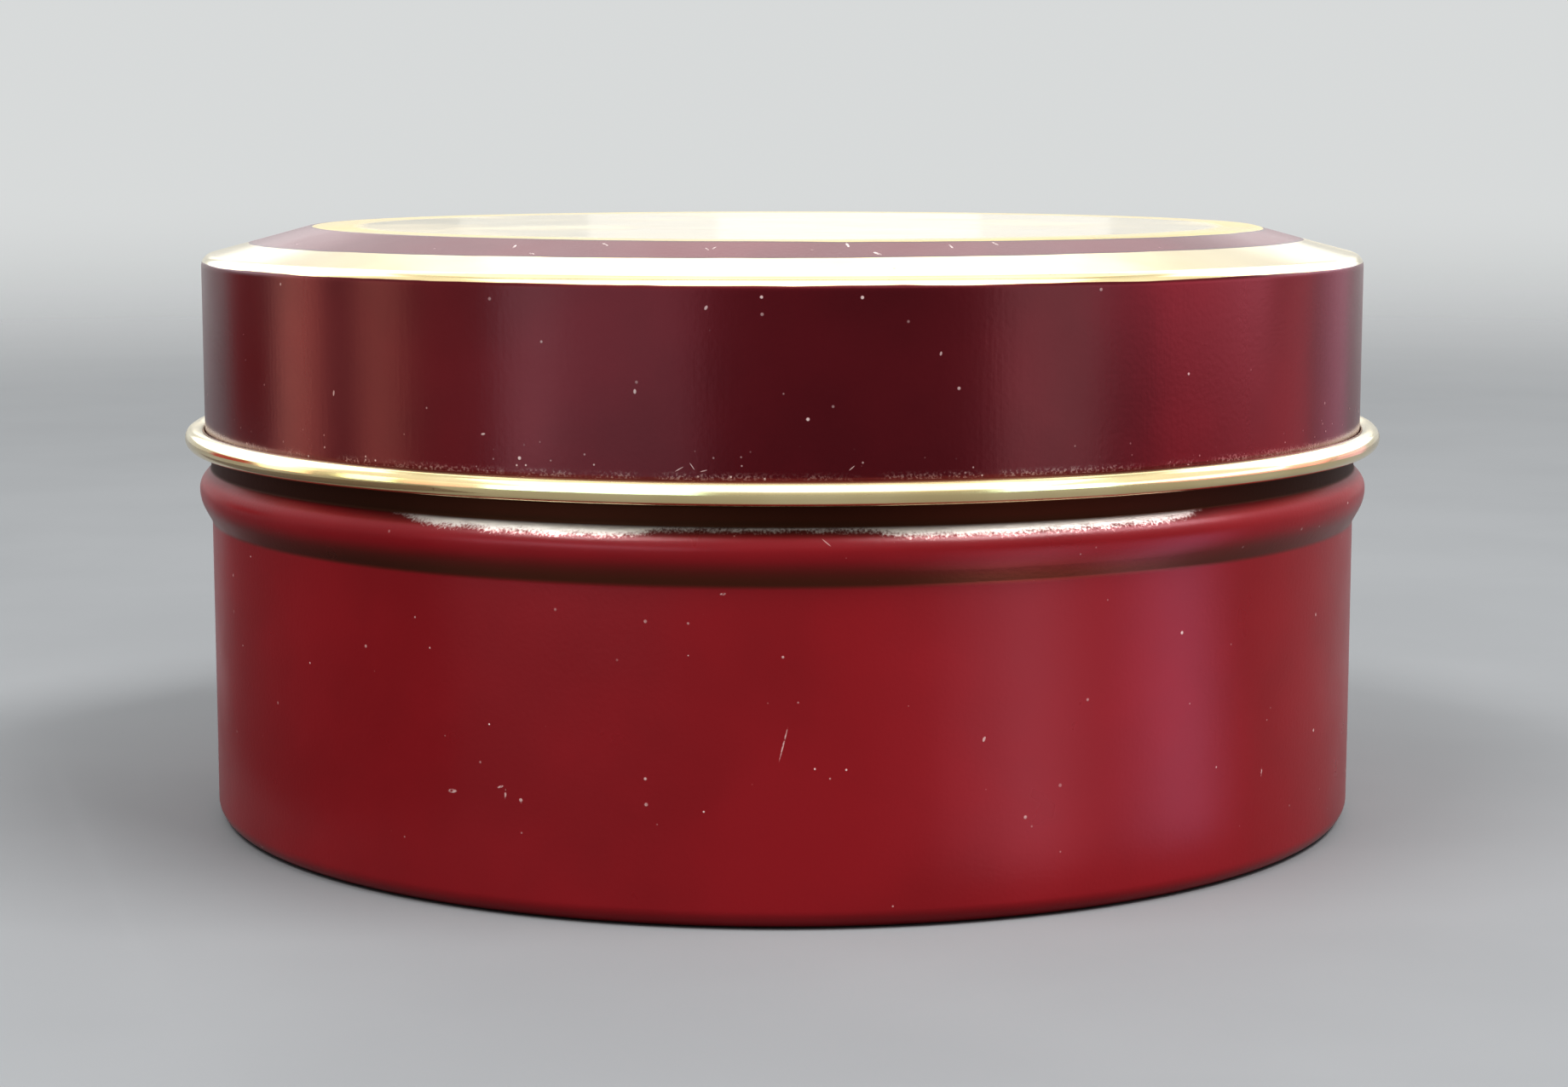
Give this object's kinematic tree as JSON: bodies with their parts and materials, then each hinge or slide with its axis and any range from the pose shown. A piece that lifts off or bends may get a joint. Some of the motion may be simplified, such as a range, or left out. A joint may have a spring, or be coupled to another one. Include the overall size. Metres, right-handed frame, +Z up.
{
  "type": "candy tin",
  "caption": "Low round candy tin of drawn tinplate: a straight body with an outward bead, and a lift-off slip lid with a rolled edge and a raised middle panel.",
  "frame": {"origin": "middle of the face that the tin stands on", "axes": "+Z up along the tin's axis; the tin is round, so X and Y are free"},
  "size_m": [0.0982, 0.0982, 0.0479],
  "materials": {
    "body_lacquer": "crimson stoving lacquer over tinplate, semi-gloss, with gold lacquer inside",
    "lid_lacquer": "dark maroon lacquer over tinplate, semi-gloss, with gold bands, a gold rolled edge and gold lacquer inside"
  },
  "bodies": {
    "tin": {"tin_body": "body_lacquer"},
    "cover": {"lid": "lid_lacquer"}
  },
  "joints": [
    {"name": "lid_lift", "type": "slide", "parent": "tin", "child": "cover", "axis": [0, 0, 1], "range_m": [0, 0.07]}
  ]
}
